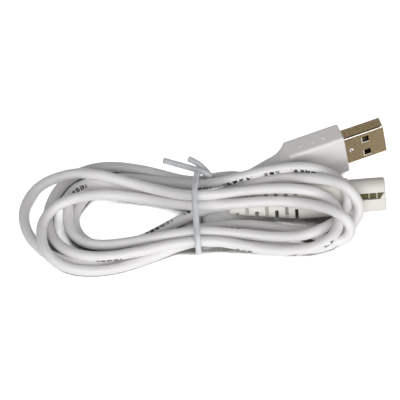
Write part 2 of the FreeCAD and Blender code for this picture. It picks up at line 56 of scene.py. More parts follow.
# The cable's route from the flat plug to the charging plug: five turns at the left end.
ROUTE = [
    # out of the neck, behind the hank, and round the first left loop
    (0.0223, 0.0124, 0.00725), (0.015, 0.0101, 0.0061), (0.0105, 0.0111, 0.0068),
    (0.0062, 0.0117, 0.0057), (0.0025, 0.0121, 0.0044), (-0.0016, 0.0108, 0.0043),
    (-0.0074, 0.0133, 0.0025), (-0.0138, 0.0165, 0.0017), (-0.0208, 0.0187, 0.0017),
    (-0.0276, 0.0199, 0.0017), (-0.0337, 0.0197, 0.0017),
    (-0.0388, 0.0179, 0.0017), (-0.0433, 0.0146, 0.0017), (-0.0466, 0.0098, 0.0017),
    (-0.0489, 0.0039, 0.0017), (-0.05, -0.0027, 0.0017),
    (-0.0489, -0.0099, 0.0024), (-0.0457, -0.017, 0.0039), (-0.0401, -0.0218, 0.0052),
    (-0.0337, -0.0229, 0.0052), (-0.026, -0.0218, 0.005),
    (-0.0176, -0.0197, 0.0053), (-0.0096, -0.0174, 0.0055), (-0.0016, -0.0172, 0.0066),
    # front right, up over the charging plug's grip, and back to the tie
    (0.0061, -0.016, 0.0051), (0.0138, -0.0173, 0.0042), (0.0215, -0.019, 0.0042),
    (0.0285, -0.0198, 0.0047), (0.0349, -0.0196, 0.006),
    (0.0401, -0.0189, 0.0088), (0.0429, -0.0143, 0.0092), (0.0435, -0.0094, 0.0098),
    (0.042, -0.005, 0.0108), (0.0385, -0.0019, 0.0117),
    (0.033, -0.0009, 0.013), (0.0266, -0.0001, 0.013), (0.0196, 0.0008, 0.0117),
    (0.0125, 0.0009, 0.0104), (0.0054, -0.0005, 0.0106),
    # the outermost left loop
    (-0.0016, -0.002, 0.0115), (-0.008, 0.0014, 0.0084), (-0.0147, 0.005, 0.0067),
    (-0.0215, 0.0076, 0.0065), (-0.0279, 0.009, 0.0075),
    (-0.0343, 0.0105, 0.0084), (-0.0407, 0.0129, 0.0062), (-0.0468, 0.0123, 0.0049),
    (-0.0521, 0.0106, 0.0032), (-0.0559, 0.0062, 0.0021),
    (-0.0578, -0.0005, 0.0017), (-0.0567, -0.0082, 0.0017), (-0.0534, -0.0145, 0.0017),
    (-0.0484, -0.0192, 0.0017), (-0.0426, -0.0219, 0.0017),
    (-0.0362, -0.0226, 0.0017), (-0.0298, -0.0217, 0.0017), (-0.0231, -0.0193, 0.0017),
    (-0.0163, -0.0158, 0.0017), (-0.0096, -0.0126, 0.0025),
    (-0.0035, -0.0107, 0.0044),
    # low through the right end, then the tight turn on top of the others
    (0.0026, -0.0075, 0.0025), (0.0087, -0.0056, 0.0017), (0.0151, -0.0057, 0.0017),
    (0.0215, -0.0067, 0.0017), (0.0279, -0.0081, 0.0017),
    (0.0337, -0.0099, 0.0026), (0.0385, -0.0148, 0.0053), (0.0429, -0.0162, 0.0051),
    (0.0463, -0.0153, 0.0063), (0.0472, -0.0134, 0.009),
    (0.0451, -0.0128, 0.0128), (0.0415, -0.01, 0.0132), (0.0365, -0.0065, 0.0115),
    (0.0304, -0.0036, 0.0099), (0.0234, -0.0029, 0.0098),
    (0.0157, -0.0031, 0.0096), (0.0074, -0.0036, 0.009),
    # the left loop that lies on top
    (-0.0013, -0.0028, 0.0076), (-0.0093, 0.0006, 0.0047), (-0.017, 0.0034, 0.0036),
    (-0.0244, 0.0047, 0.004), (-0.0311, 0.0044, 0.0053),
    (-0.0375, 0.0015, 0.0078), (-0.0436, -0.0016, 0.0089), (-0.0484, -0.0036, 0.0067),
    (-0.0513, -0.0082, 0.0057), (-0.0516, -0.0145, 0.0055),
    (-0.0502, -0.0202, 0.005), (-0.0465, -0.0238, 0.0034), (-0.041, -0.0257, 0.0024),
    (-0.0346, -0.0259, 0.002), (-0.0279, -0.0248, 0.0019),
    (-0.0208, -0.022, 0.0018), (-0.0141, -0.0186, 0.0017), (-0.008, -0.0157, 0.0025),
    (-0.0016, -0.0148, 0.004),
    # along the floor at the front, then the widest turn over the barrel
    (0.0054, -0.0136, 0.0025), (0.0131, -0.0142, 0.0017), (0.0212, -0.0149, 0.0017),
    (0.0288, -0.0157, 0.0017), (0.0362, -0.0161, 0.0017),
    (0.0417, -0.0136, 0.0017), (0.0458, -0.0101, 0.0036), (0.0489, -0.0078, 0.0063),
    (0.0502, -0.005, 0.0098), (0.0481, -0.0041, 0.0141),
    (0.0447, -0.0023, 0.017), (0.0394, 0.001, 0.0159), (0.033, 0.0036, 0.0139),
    (0.026, 0.0059, 0.0112), (0.0189, 0.0056, 0.0102),
    (0.0125, 0.0047, 0.0085), (0.0058, 0.0048, 0.0053), (-0.0016, 0.0034, 0.0048),
    # the fourth left loop
    (-0.0087, 0.0055, 0.0027), (-0.0157, 0.0075, 0.0017), (-0.0221, 0.0092, 0.0018),
    (-0.0276, 0.0101, 0.0028), (-0.0332, 0.0093, 0.005),
    (-0.0389, 0.0085, 0.0054), (-0.0432, 0.0046, 0.0047), (-0.0432, -0.0016, 0.0048),
    (-0.0431, -0.007, 0.0045), (-0.0415, -0.0121, 0.0041),
    (-0.0375, -0.0159, 0.0042), (-0.0317, -0.0172, 0.0045), (-0.0247, -0.0163, 0.0047),
    (-0.0173, -0.0149, 0.0051), (-0.0096, -0.014, 0.0063),
    (-0.0016, -0.0134, 0.0072),
    # under the tight turn, up past the grip, and along the top
    (0.0061, -0.0124, 0.0057), (0.0138, -0.0124, 0.0046), (0.0215, -0.0138, 0.0049),
    (0.0285, -0.0148, 0.0059), (0.0343, -0.0159, 0.0087),
    (0.0391, -0.0128, 0.0083), (0.0433, -0.0072, 0.0058), (0.046, -0.0044, 0.0082),
    (0.0466, -0.002, 0.0117), (0.0446, 0.0008, 0.0144),
    (0.0404, 0.0051, 0.0144), (0.0349, 0.0062, 0.016), (0.0288, 0.0071, 0.0153),
    (0.0228, 0.0072, 0.014), (0.0163, 0.0061, 0.0132),
    (0.0106, 0.0056, 0.0114), (0.0048, 0.0062, 0.0088), (-0.0016, 0.0068, 0.007),
    # the innermost left loop, then across to the charging plug
    (-0.0087, 0.0102, 0.004), (-0.0157, 0.0131, 0.0021), (-0.0228, 0.0148, 0.0017),
    (-0.0285, 0.0148, 0.0017), (-0.0327, 0.0123, 0.0017),
    (-0.0365, 0.0085, 0.0017), (-0.0397, 0.0035, 0.0017), (-0.0415, -0.0025, 0.0017),
    (-0.0405, -0.0086, 0.0017), (-0.0373, -0.0132, 0.0017),
    (-0.0321, -0.0152, 0.0017), (-0.0256, -0.0147, 0.0017), (-0.0192, -0.0121, 0.0017),
    (-0.0131, -0.0078, 0.0017), (-0.0074, -0.0043, 0.0025),
    (-0.0022, -0.0024, 0.0037), (0.0018, -0.0011, 0.0042), (0.0063, -0.0003, 0.00475),
    (0.0163, 0.00025, 0.00525),
]

# The tie: a ring round the bundle, and two cut ends that part behind it.
TIE_RING = [
    (-0.0016, 0.0136, 0.001), (-0.0018, 0.0138, 0.0054), (-0.0019, 0.0092, 0.0102),
    (-0.0025, 0.0006, 0.0148), (-0.0028, -0.0044, 0.0146),
    (-0.0022, -0.0134, 0.0106), (-0.0017, -0.0188, 0.0097), (-0.0014, -0.0207, 0.0062),
    (-0.0014, -0.0173, 0.00096), (-0.0016, -0.003, 0.00095),
]
TIE_LONG_END = [
    (-0.0126, 0.0168, 0.008), (-0.0086, 0.0149, 0.0083), (-0.0045, 0.0129, 0.0088),
    (-0.0011, 0.0109, 0.0095), (0.0019, 0.0095, 0.0093),
    (0.0029, 0.0096, 0.0076), (0.0009, 0.0106, 0.0065),
]
TIE_SHORT_END = [
    (-0.0045, 0.0163, 0.0092), (-0.00205, 0.0147, 0.0093), (-0.0001, 0.0127, 0.009),
    (0.0014, 0.0114, 0.0081), (0.0024, 0.01, 0.0075),
]
# Faces round the tie, and points along it for each point of its route.
TIE_SIDES = 20
TIE_STEPS = 10

# Where marks are printed along the cable: first and last millimetre, and the angle round the
# jacket in degrees from the side that faces PRINT_SIDE, first and last.
PRINTS = [
    (117.5, 125.0, 70.0, 72.0),
    (163.0, 167.8, 74.0, 72.0),
    (178.6, 182.0, 78.0, 76.0),
    (190.0, 192.6, 62.0, 54.0),
    (776.8, 788.4, -18.0, -24.0),
    (848.6, 855.6, -84.0, -84.0),
    (912.0, 921.8, -70.0, -52.0),
    (925.6, 931.0, -50.0, -46.0),
    (935.6, 944.4, -44.0, -52.0),
    (949.4, 953.6, -60.0, -62.0),
    (1035.0, 1046.6, -50.0, -50.0),
    (1051.0, 1053.6, -55.0, -55.0),
]
PRINT_SIDE = Vector((0.0, -0.682, 0.7314))

# A printed mark: the noise that its strokes keep to, from bare jacket to full ink, the size of its
# swirls as a share of its height, and the share of the pitch that it fills.
STROKE_SPAN = {"From Min": 0.22, "From Max": 0.16}
SWIRL_SHARE = 0.6
FILLED_SHARE = 0.8

# Where the plugs rest. Each has its own x axis to its mouth, y across its wide face and z out of
# that face.
FLAT_PLUG_REST = (Matrix.Translation((0.04535, 0.0199, 0.01085))
                  @ Matrix.Rotation(math.radians(18), 4, "Z")
                  @ Matrix.Rotation(math.radians(-8.5), 4, "Y")
                  @ Matrix.Rotation(math.radians(90), 4, "X"))
CHARGING_PLUG_REST = (Matrix.Translation((0.00833, -0.0002, 0.00485))
                      @ Matrix.Rotation(math.radians(3.2), 4, "Z")
                      @ Matrix.Rotation(math.radians(-3), 4, "Y")
                      @ Matrix.Rotation(math.radians(52), 4, "X"))

# The slots of the charging plug's strain relief: along its axis for the rows on its side and on its
# face, and out from its axis to the core under them. Each slot is painted with shade that darkens
# over its depth, and the two shades are how dark that painted shade is at the floor of each row.
SLOT_FIRST_SIDE = 2.4 * MM
SLOT_FIRST_FACE = 5.6 * MM
SLOT_PITCH = 6.35 * MM
SLOT_WIDTH = 1.1 * MM
SLOT_END = 22.4 * MM
SLOT_CORE = 2.2 * MM
SLOT_DEPTH = 1.6 * MM
SLOT_MARGIN = 0.02 * MM
SIDE_SLOT_SHADE = 1.0
FACE_SLOT_SHADE = 0.45

# The groove along the charging plug's nose: its width and how far its floor is from the axis, the
# place and width of each rib across it, and the ramp at its end with the plane that slopes it.
GROOVE_WIDTH = 2.1 * MM
GROOVE_FLOOR = 2.1 * MM
RIBS = ((44.9 * MM, 0.5 * MM), (47.4 * MM, 0.7 * MM))
RIB_HEIGHT = 0.8 * MM
RAMP_MIDDLE = 49.1 * MM
RAMP_LENGTH = 2.0 * MM
RAMP_HEIGHT = 1.2 * MM
SLOPE_MIDDLE = 48.9 * MM
SLOPE_NORMAL = (-0.75, 0.55, 0.35)

# The flat plug's shell: how far it stands out of the cover, half its width and half its thickness.
SHELL_OUT = 13.4 * MM
SHELL_HALF_WIDTH = 6.0 * MM
SHELL_HALF_THICKNESS = 2.25 * MM

# The small forms on the shell: its rolled edge, its two windows' lips and its crimp. The edge, the
# lips and the crimp's dome are near-white painted highlights, and the crimp's dark nick is painted
# shade.
ROLLED_EDGE_RADIUS = 0.17 * MM
ROLLED_EDGE_INSET = 0.2 * MM
WINDOW_ALONG = 7.05 * MM
WINDOW_ASIDE = 3.1 * MM
LIP_OUTLINE = (2.62 * MM, 2.82 * MM)
LIP_WIDTH = 0.18 * MM
LIP_DEPTH = 0.09 * MM
LIP_LIFT = 0.03 * MM
CRIMP_ALONG = 1.9 * MM
CRIMP_RADIUS = 0.72 * MM
CRIMP_SUNK = 0.1 * MM
CRIMP_RISE = 0.3
NICK_ALONG = 1.95 * MM
NICK_LIFT = 0.08 * MM
NICK_SIZE = (0.36 * MM, 0.9 * MM, 0.14 * MM)

# The raised marks on the narrow side of the cover, each tipped so that one corner stands out.
COVER_HALF_WIDTH = 8.2 * MM
GRIP_MARK_PLACES = (-14.4 * MM, -10.0 * MM, -6.4 * MM)
GRIP_MARK_ASIDE = 0.4 * MM
GRIP_MARK_RADIUS = 0.85 * MM
GRIP_MARK_DEPTH = 0.14 * MM
GRIP_MARK_LIFT = 0.02 * MM
GRIP_MARK_TIP = 0.3

# Edges that turn by more than this stay crisp.
CRISP_ANGLE = math.radians(40)

# What most of a noise texture's values lie between.
NOISE_SPAN = {"From Min": 0.3, "From Max": 0.7}

# How far round itself the floor looks for the hank that shelters it, and how open the floor is
# where its painted shade ends and its white begins.
SHELTER_REACH = 16 * MM
SHELTER_SAMPLES = 16
SHELTER_SPAN = {"From Min": 0.265, "From Max": 0.315}

# The point that the camera and the lamps look at, the sizes of the floor and the lamps, and the
# lamps' places from that point. The sensor's width is in millimetres.
LOOK_AT = Vector((-0.96 * MM, 1.2 * MM, 6.0 * MM))
FLOOR_SIZE = 6
LAMP_WIDTH = 1.2
SOFTBOX_HEIGHT = 0.7
SOFTBOX_PLACE = Vector((0.0, -1.04, 0.6))
STRIP_HEIGHT = 0.2
STRIP_PLACE = Vector((0.45, -0.9, 0.22))
SENSOR_WIDTH = 36
NEAREST_SEEN = 0.01


def linear(code):
    """The linear colour of an sRGB hex value."""
    shades = [int(code[at:at + 2], 16) / 255 for at in (1, 3, 5)]
    return tuple(s / 12.92 if s <= 0.04045 else ((s + 0.055) / 1.055) ** 2.4 for s in shades)


def colour_choice(name, description, code):
    return bpy.props.FloatVectorProperty(
        name=name, description=description, default=linear(code), size=3, min=0, max=1,
        subtype="COLOR")


def length_choice(name, description, size):
    return bpy.props.FloatProperty(
        name=name, description=description, default=size, min=0, unit="LENGTH")


class CableSettings(bpy.types.PropertyGroup):
    diameter: length_choice("Diameter", "Across the cable's jacket", 3.4 * MM)
    length: length_choice("Length", "Along the cable, from plug to plug", 1073 * MM)
    sides: bpy.props.IntProperty(
        name="Sides", description="Faces round the jacket", default=24, min=8, max=64)
    mark_pitch: length_choice("Mark pitch", "From one printed mark to the next", 2.0 * MM)
    mark_height: length_choice("Mark height", "Across a printed mark", 1.5 * MM)
    jacket: colour_choice("Jacket", "Colour of the jacket", "#f6f4f4")
    ink: colour_choice("Ink", "Colour of the printed marks", "#242228")


class TieSettings(bpy.types.PropertyGroup):
    diameter: length_choice("Diameter", "Across the tie", 1.9 * MM)
    coat: colour_choice("Coat", "Colour of the tie's plastic coat", "#eaedf1")


class PlugSettings(bpy.types.PropertyGroup):
    cover: colour_choice("Cover", "Colour of the flat plug's moulded cover", "#f7f5f3")
    shell: colour_choice("Shell", "Colour of the plated shell", "#7f7056")
    tongue: colour_choice("Tongue", "Colour of the insulator inside the shell", "#211e1c")
    contact: colour_choice("Contact", "Colour of the gilt contacts", "#d3b26a")
    grip: colour_choice("Grip", "Colour of the charging plug", "#eae7e0")
    # Painted shade: the leaf's tinned metal is darkened to the shade deep in the groove.
    leaf: colour_choice("Leaf", "Colour of the leaf in the charging plug's groove", "#45422f")
    # Painted shade: the ribs are the grip's cream plastic, darkened as the groove shades them.
    rib: colour_choice("Rib", "Colour of the ribs in the charging plug's groove", "#a8a48f")
    # Painted shade: the colour deep in the grip's slots, where little light reaches.
    slot: colour_choice("Slot", "Colour deep in the grip's slots", "#4a4636")
    # Painted highlight: the near-white metal of the rolled edge, the window lips and the crimp
    # dome.
    bright: colour_choice("Bright edge", "Colour of the shell's polished edges", "#f6f4f0")


class StageSettings(bpy.types.PropertyGroup):
    floor: colour_choice("Floor", "Colour of the floor", "#f2f2f2")
    # Painted shade: the floor's colour where the hank shelters it.
    painted_floor_shade: colour_choice(
        "Sheltered floor", "Colour of the floor deep inside the hank", "#82817a")
    floor_lift: bpy.props.FloatProperty(
        name="Floor lift", description="White added to the open floor as the camera sees it",
        default=1.0, min=0, max=1)
    sky: bpy.props.FloatProperty(
        name="Sky", description="Strength of the light from all round", default=0.22, min=0)
    key: bpy.props.FloatProperty(
        name="Key", description="Power of the softbox at the front", default=6.7, min=0,
        unit="POWER")
    fill: bpy.props.FloatProperty(
        name="Fill", description="Power of the strip light low at the front", default=3.3, min=0,
        unit="POWER")
    elevation: bpy.props.FloatProperty(
        name="Elevation", description="How far the camera looks down", default=math.radians(47),
        subtype="ANGLE")
    distance: length_choice("Distance", "From the camera to what it looks at", 1.5)
    view_width: length_choice("View width", "Across the picture at the cable", 128.2 * MM)


def add_node(tree, kind, fields=None, values=None, links=None):
    """Add a node, set its fields and its inputs' values, and feed its inputs from other nodes."""
    added = tree.nodes.new(kind)
    for field, setting in (fields or {}).items():
        setattr(added, field, setting)
    for socket, setting in (values or {}).items():
        added.inputs[socket].default_value = setting
    for socket, source in (links or {}).items():
        tree.links.new(source, added.inputs[socket])
    return added


def start_finish(name, colour, values):
    """A material, its node tree, and its Principled shader with its inputs' values."""
    finish = bpy.data.materials.new(name)
    finish.use_nodes = True
    tree = finish.node_tree
    shader = tree.nodes["Principled BSDF"]
    shader.inputs["Base Color"].default_value = (*colour, 1)
    for socket, setting in values.items():
        shader.inputs[socket].default_value = setting
    finish.diffuse_color = (*colour, 1)
    return finish, tree, shader


def spline_points(route, closed=False, steps=6):
    """Points on the smooth spline that a route's points draw in towards themselves."""
    curve = bpy.data.curves.new("route", "CURVE")
    curve.dimensions = "3D"
    curve.resolution_u = steps
    spline = curve.splines.new("NURBS")
    spline.points.add(len(route) - 1)
    for point, place in zip(spline.points, route):
        point.co = (*place, 1)
    spline.order_u = 3
    spline.use_endpoint_u = not closed
    spline.use_cyclic_u = closed
    holder = bpy.data.objects.new("route", curve)
    bpy.context.scene.collection.objects.link(holder)
    bpy.context.view_layer.update()
    settled = holder.evaluated_get(bpy.context.evaluated_depsgraph_get())
    line = bpy.data.meshes.new_from_object(settled)
    points = [vertex.co.copy() for vertex in line.vertices]
    bpy.data.meshes.remove(line)
    bpy.data.objects.remove(holder)
    bpy.data.curves.remove(curve)
    return points


def print_angle(along):
    """The angle of the printed marks at a place along the cable, and 1 where there are any."""
    stops = []
    for first, last, angle_first, angle_last in PRINTS:
        stops += [(first, angle_first), (last, angle_last)]
        if first <= along <= last:
            part = (along - first) / (last - first)
            return angle_first + part * (angle_last - angle_first), 1.0
    before = [stop for stop in stops if stop[0] <= along] or stops[:1]
    after = [stop for stop in stops if stop[0] > along] or stops[-1:]
    gap = after[0][0] - before[-1][0]
    part = (along - before[-1][0]) / gap if gap > 0 else 0
    return before[-1][1] + part * (after[0][1] - before[-1][1]), 0.0


def add_tube(mesh, points, radius, sides, closed=False):
    """Add a round tube along the points; its map runs in millimetres along and round the print."""
    mapping = mesh.loops.layers.uv.get("print_map") or mesh.loops.layers.uv.new("print_map")
    printed = mesh.verts.layers.float.get("printed") or mesh.verts.layers.float.new("printed")
    count = len(points)
    rings = []
    along = 0.0
    for index, point in enumerate(points):
        ahead = points[(index + 1) % count] if closed else points[min(index + 1, count - 1)]
        behind = points[index - 1] if closed or index else points[0]
        way = (ahead - behind).normalized()
        if index:
            along += (point - points[index - 1]).length / MM
        face = (PRINT_SIDE - way * PRINT_SIDE.dot(way)).normalized()
        side = way.cross(face)
        angle, inked = print_angle(along)
        ring = []
        for number in range(sides):
            turn = math.radians(angle - 180) + math.tau * number / sides
            out = math.cos(turn) * face + math.sin(turn) * side
            vertex = mesh.verts.new(point + radius * out)
            vertex[printed] = inked
            ring.append(vertex)
        rings.append((along, ring))
    pairs = list(zip(rings, rings[1:]))
    if closed:
        pairs.append((rings[-1], rings[0]))
    for (start, ring), (end, following) in pairs:
        for number in range(sides):
            beside = (number + 1) % sides
            corners = [(ring[number], start, number), (following[number], end, number),
                       (following[beside], end, number + 1), (ring[beside], start, number + 1)]
            face = mesh.faces.new([vertex for vertex, place, turn in corners])
            face.smooth = True
            for loop, (vertex, place, turn) in zip(face.loops, corners):
                loop[mapping].uv = (place, (turn / sides - 0.5) * math.tau * radius / MM)
    if not closed:
        mesh.faces.new(rings[0][1])
        mesh.faces.new(list(reversed(rings[-1][1])))


def finish_piece(name, mesh, finish, slot, *nodes):
    """Turn a bmesh into a piece that stands for CAD nodes."""
    bmesh.ops.recalc_face_normals(mesh, faces=mesh.faces)
    data = bpy.data.meshes.new(name)
    mesh.to_mesh(data)
    mesh.free()
    piece = bpy.data.objects.new(name, data)
    bpy.context.scene.collection.objects.link(piece)
    data.materials.append(finish)
    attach(piece, "root")
    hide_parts(*nodes)
    return piece


def dress(finish, *nodes):
    """Give CAD nodes a finish of their own."""
    for name in nodes:
        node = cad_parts[name]
        for holder in node.material_slots:
            holder.material = finish


def pick(piece):
    """Select one piece alone."""
    bpy.ops.object.select_all(action="DESELECT")
    piece.select_set(True)
    bpy.context.view_layer.objects.active = piece


def block(size, middle):
    """Add a block of a size, to be shaped further."""
    bpy.ops.object.select_all(action="DESELECT")
    bpy.ops.mesh.primitive_cube_add(size=1, location=middle)
    bpy.context.object.scale = size
    bpy.ops.object.transform_apply(location=True, rotation=True, scale=True)
    return bpy.context.object


def round_over(width):
    """Bevel all edges of the active piece."""
    bpy.ops.object.mode_set(mode="EDIT")
    bpy.ops.mesh.select_all(action="SELECT")
    bpy.ops.mesh.bevel(offset=width, segments=2, affect="EDGES")
    bpy.ops.object.mode_set(mode="OBJECT")


def thicken(piece, depth, rounding):
    """Give a flat piece its thickness, and round its edges."""
    wall = piece.modifiers.new("wall", "SOLIDIFY")
    wall.thickness = depth
    wall.offset = 0
    edge = piece.modifiers.new("edge", "BEVEL")
    edge.width = rounding
    edge.segments = 2
    for modifier in ("wall", "edge"):
        bpy.ops.object.modifier_apply(modifier=modifier)


def copy_along(piece, shift):
    """Copy a piece with its own mesh, and move the copy along its plug's axes."""
    pick(piece)
    bpy.ops.object.duplicate()
    bpy.ops.transform.translate(value=shift)
    bpy.ops.object.transform_apply(location=True, rotation=True, scale=True)
    return bpy.context.object


def settle(piece, name, finish, rest):
    """Finish a piece: carry it to where its plug rests, and let it ride on the hank."""
    pick(piece)
    piece.name = name
    piece.matrix_world = rest @ piece.matrix_world
    bpy.ops.object.transform_apply(location=True, rotation=True, scale=True)
    bpy.ops.object.shade_smooth_by_angle(angle=CRISP_ANGLE)
    piece.data.materials.append(finish)
    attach(piece, "root")


def jacket_finish(cable):
    """Extruded soft PVC: satin, even white, with small marks printed on it in dark ink."""
    # Light goes a millimetre or so into the PVC, and softens its shaded side.
    finish, tree, shader = start_finish(
        "white soft PVC jacket", cable.jacket,
        {"Roughness": 0.42, "IOR": 1.5, "Subsurface Weight": 0.8, "Subsurface Radius": (1, 1, 1),
         "Subsurface Scale": 1.5 * MM})
    place = add_node(tree, "ShaderNodeTexCoord")
    # Faint cloudiness about 8 mm across, as in a soft jacket that has been handled.
    clouds = add_node(tree, "ShaderNodeTexNoise", values={"Scale": 1 / (8 * MM), "Detail": 3},
                      links={"Vector": place.outputs["Object"]})
    shade = add_node(tree, "ShaderNodeMapRange", values={"To Min": 0.95, "To Max": 1.0},
                     links={"Value": clouds.outputs["Fac"]})
    jacket = add_node(tree, "ShaderNodeMix", {"data_type": "RGBA", "blend_type": "MULTIPLY"},
                      {"Factor": 1.0, "A": (*cable.jacket, 1)}, {"B": shade.outputs["Result"]})
    # The marks: short wandering strokes of ink, in cells one pitch long with a space between them.
    uv = add_node(tree, "ShaderNodeUVMap", {"uv_map": "print_map"})
    axes = add_node(tree, "ShaderNodeSeparateXYZ", links={"Vector": uv.outputs["UV"]})
    pitch = cable.mark_pitch / MM
    height = cable.mark_height / MM
    swirl = add_node(tree, "ShaderNodeTexNoise", {"noise_dimensions": "2D"},
                     {"Scale": 1 / (SWIRL_SHARE * height), "Detail": 0},
                     {"Vector": uv.outputs["UV"]})
    level = add_node(tree, "ShaderNodeMath", {"operation": "SUBTRACT"}, {1: 0.5},
                     {0: swirl.outputs["Fac"]})
    off_stroke = add_node(tree, "ShaderNodeMath", {"operation": "ABSOLUTE"},
                          links={0: level.outputs[0]})
    stroke = add_node(tree, "ShaderNodeMapRange", values=STROKE_SPAN,
                      links={"Value": off_stroke.outputs[0]})
    in_cell = add_node(tree, "ShaderNodeMath", {"operation": "FLOORED_MODULO"}, {1: pitch},
                       {0: axes.outputs["X"]})
    spaced = add_node(tree, "ShaderNodeMath", {"operation": "LESS_THAN"},
                      {1: FILLED_SHARE * pitch}, {0: in_cell.outputs[0]})
    off_line = add_node(tree, "ShaderNodeMath", {"operation": "ABSOLUTE"},
                        links={0: axes.outputs["Y"]})
    in_line = add_node(tree, "ShaderNodeMath", {"operation": "LESS_THAN"}, {1: height / 2},
                       {0: off_line.outputs[0]})
    stretch = add_node(tree, "ShaderNodeAttribute", {"attribute_name": "printed"})
    mask = stretch.outputs["Fac"]
    for part in (stroke, spaced, in_line):
        product = add_node(tree, "ShaderNodeMath", {"operation": "MULTIPLY"},
                           links={0: mask, 1: part.outputs[0]})
        mask = product.outputs[0]
    colour = add_node(tree, "ShaderNodeMix", {"data_type": "RGBA"}, {"B": (*cable.ink, 1)},
                      {"Factor": mask, "A": jacket.outputs["Result"]})
    tree.links.new(colour.outputs["Result"], shader.inputs["Base Color"])
    return finish


def coat_finish(tie):
    """PVC over a wire core: a little glossier than the cable, and lumpy where it is bent."""
    finish, tree, shader = start_finish(
        "grey white PVC coat", tie.coat, {"Roughness": 0.35, "IOR": 1.5})
    place = add_node(tree, "ShaderNodeTexCoord")
    # Lumps about 2 mm long, as the coat creases over its wire.
    lumps = add_node(tree, "ShaderNodeTexNoise", values={"Scale": 1 / (2 * MM), "Detail": 2},
                     links={"Vector": place.outputs["Object"]})
    shade = add_node(tree, "ShaderNodeMapRange",
                     values={**NOISE_SPAN, "To Min": 0.86, "To Max": 1.0},
                     links={"Value": lumps.outputs["Fac"]})
    coat = add_node(tree, "ShaderNodeMix", {"data_type": "RGBA", "blend_type": "MULTIPLY"},
                    {"Factor": 1.0, "A": (*tie.coat, 1)}, {"B": shade.outputs["Result"]})
    bump = add_node(tree, "ShaderNodeBump", values={"Strength": 0.2, "Distance": 0.2 * MM},
                    links={"Height": lumps.outputs["Fac"]})
    tree.links.new(coat.outputs["Result"], shader.inputs["Base Color"])
    tree.links.new(bump.outputs["Normal"], shader.inputs["Normal"])
    return finish


def moulded_finish(name, colour):
    """Moulded ABS or PVC: satin, with a fine spark-eroded grain from the mould."""
    finish, tree, shader = start_finish(name, colour, {"Roughness": 0.45, "IOR": 1.5})
    place = add_node(tree, "ShaderNodeTexCoord")
    # Mould grain is about 0.1 mm; it is drawn at 0.5 mm to show at all.
    grain = add_node(tree, "ShaderNodeTexNoise", values={"Scale": 1 / (0.5 * MM), "Detail": 2},
                     links={"Vector": place.outputs["Object"]})
    bump = add_node(tree, "ShaderNodeBump", values={"Strength": 0.06, "Distance": 0.1 * MM},
                    links={"Height": grain.outputs["Fac"]})
    tree.links.new(bump.outputs["Normal"], shader.inputs["Normal"])
    return finish


def slotted_finish(plug):
    """The same moulded plastic with slots cut through it, painted with shade that darkens each slot
    towards its floor.
    """
    finish = moulded_finish("cream moulded grip", plug.grip)
    tree = finish.node_tree
    place = add_node(tree, "ShaderNodeTexCoord")
    # The slots are laid out on the plug's own axes, in metres from its end.
    back = CHARGING_PLUG_REST.inverted()
    own = add_node(tree, "ShaderNodeMapping",
                   values={"Location": back.translation, "Rotation": back.to_euler()},
                   links={"Vector": place.outputs["Object"]})
    axes = add_node(tree, "ShaderNodeSeparateXYZ", links={"Vector": own.outputs["Vector"]})
    # Painted shade deep in the slots: the side row is darkened on one side of the plug only, the
    # face row on one face only.
    shadow = None
    for first, across, way, darkest in (
            (SLOT_FIRST_SIDE, "Y", -1.0, SIDE_SLOT_SHADE),
            (SLOT_FIRST_FACE, "Z", 1.0, FACE_SLOT_SHADE)):
        from_first = add_node(tree, "ShaderNodeMath", {"operation": "SUBTRACT"}, {1: first},
                              {0: axes.outputs["X"]})
        from_slot = add_node(tree, "ShaderNodeMath", {"operation": "WRAP"},
                             {1: SLOT_PITCH / 2, 2: -SLOT_PITCH / 2},
                             {0: from_first.outputs[0]})
        off_slot = add_node(tree, "ShaderNodeMath", {"operation": "ABSOLUTE"},
                            links={0: from_slot.outputs[0]})
        in_slot = add_node(tree, "ShaderNodeMath", {"operation": "LESS_THAN"},
                           {1: SLOT_WIDTH / 2 + SLOT_MARGIN}, {0: off_slot.outputs[0]})
        before_end = add_node(tree, "ShaderNodeMath", {"operation": "LESS_THAN"},
                              {1: SLOT_END}, {0: axes.outputs["X"]})
        off_axis = add_node(tree, "ShaderNodeMath", {"operation": "MULTIPLY"}, {1: way},
                            {0: axes.outputs[across]})
        depth = add_node(tree, "ShaderNodeMapRange",
                         values={"From Min": SLOT_CORE + SLOT_DEPTH, "From Max": SLOT_CORE,
                                 "To Max": darkest},
                         links={"Value": off_axis.outputs[0]})
        above_core = add_node(tree, "ShaderNodeMath", {"operation": "GREATER_THAN"},
                              {1: SLOT_CORE - SLOT_MARGIN}, {0: off_axis.outputs[0]})
        dark = depth.outputs["Result"]
        for part in (in_slot, before_end, above_core):
            product = add_node(tree, "ShaderNodeMath", {"operation": "MULTIPLY"},
                               links={0: dark, 1: part.outputs[0]})
            dark = product.outputs[0]
        if shadow is None:
            shadow = dark
        else:
            both = add_node(tree, "ShaderNodeMath", {"operation": "MAXIMUM"},
                            links={0: shadow, 1: dark})
            shadow = both.outputs[0]
    # The grip's own colour, with the painted shade mixed in deep in its slots.
    colour = add_node(tree, "ShaderNodeMix", {"data_type": "RGBA"},
                      {"A": (*plug.grip, 1), "B": (*plug.slot, 1)}, {"Factor": shadow})
    tree.links.new(colour.outputs["Result"], tree.nodes["Principled BSDF"].inputs["Base Color"])
    return finish


